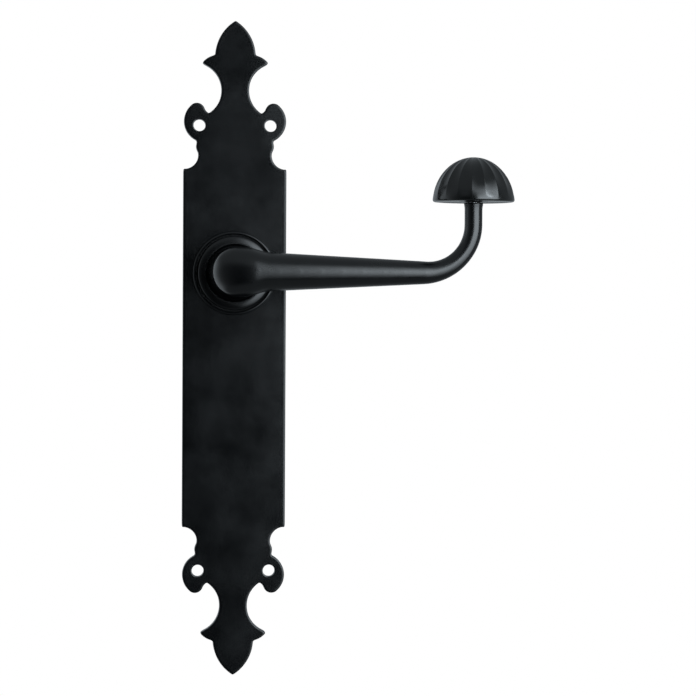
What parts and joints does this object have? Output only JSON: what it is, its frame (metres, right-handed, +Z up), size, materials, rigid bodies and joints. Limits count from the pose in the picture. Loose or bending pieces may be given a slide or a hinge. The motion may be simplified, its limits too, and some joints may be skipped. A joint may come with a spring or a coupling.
{
  "type": "door lever handle",
  "caption": "Black door lever handle on a long backplate with fleur-de-lis ends; the tapered lever turns up into a stem with a fluted mushroom cap.",
  "frame": {"origin": "centre of the backplate's back face, which rests on the door", "axes": "+Z up the backplate, +Y into the door, +X along the lever, towards its turned-up end"},
  "size_m": [0.1395, 0.1264, 0.2854],
  "materials": {
    "black_coat": "satin black powder coat on cast iron",
    "zinc_steel": "bright zinc plate",
    "spring_steel": "oiled spring steel",
    "black_oxide": "black oxide",
    "nylon": "natural nylon"
  },
  "bodies": {
    "plate": {"backplate": "black_coat", "bearing_bush": "nylon", "thrust_washer": "nylon", "spring_housing": "zinc_steel", "housing_screw_1": "zinc_steel", "housing_screw_2": "zinc_steel", "housing_screw_3": "zinc_steel", "return_spring": "spring_steel", "wave_washer": "spring_steel"},
    "handle": {"lever": "black_coat", "mushroom_cap": "black_coat", "cap_stud": "zinc_steel", "spindle": "zinc_steel", "grub_screw": "black_oxide", "spring_driver": "zinc_steel", "retaining_washer": "zinc_steel", "circlip": "black_oxide"}
  },
  "joints": [
    {"name": "lever_turn", "type": "hinge", "parent": "plate", "child": "handle", "pos_m": [0, 0, 0.0328], "axis": [0, 1, 0], "range_deg": [0, 45], "stiffness_Nm_per_rad": 0.6, "springref_deg": -51.57, "deforming": ["return_spring"]}
  ]
}
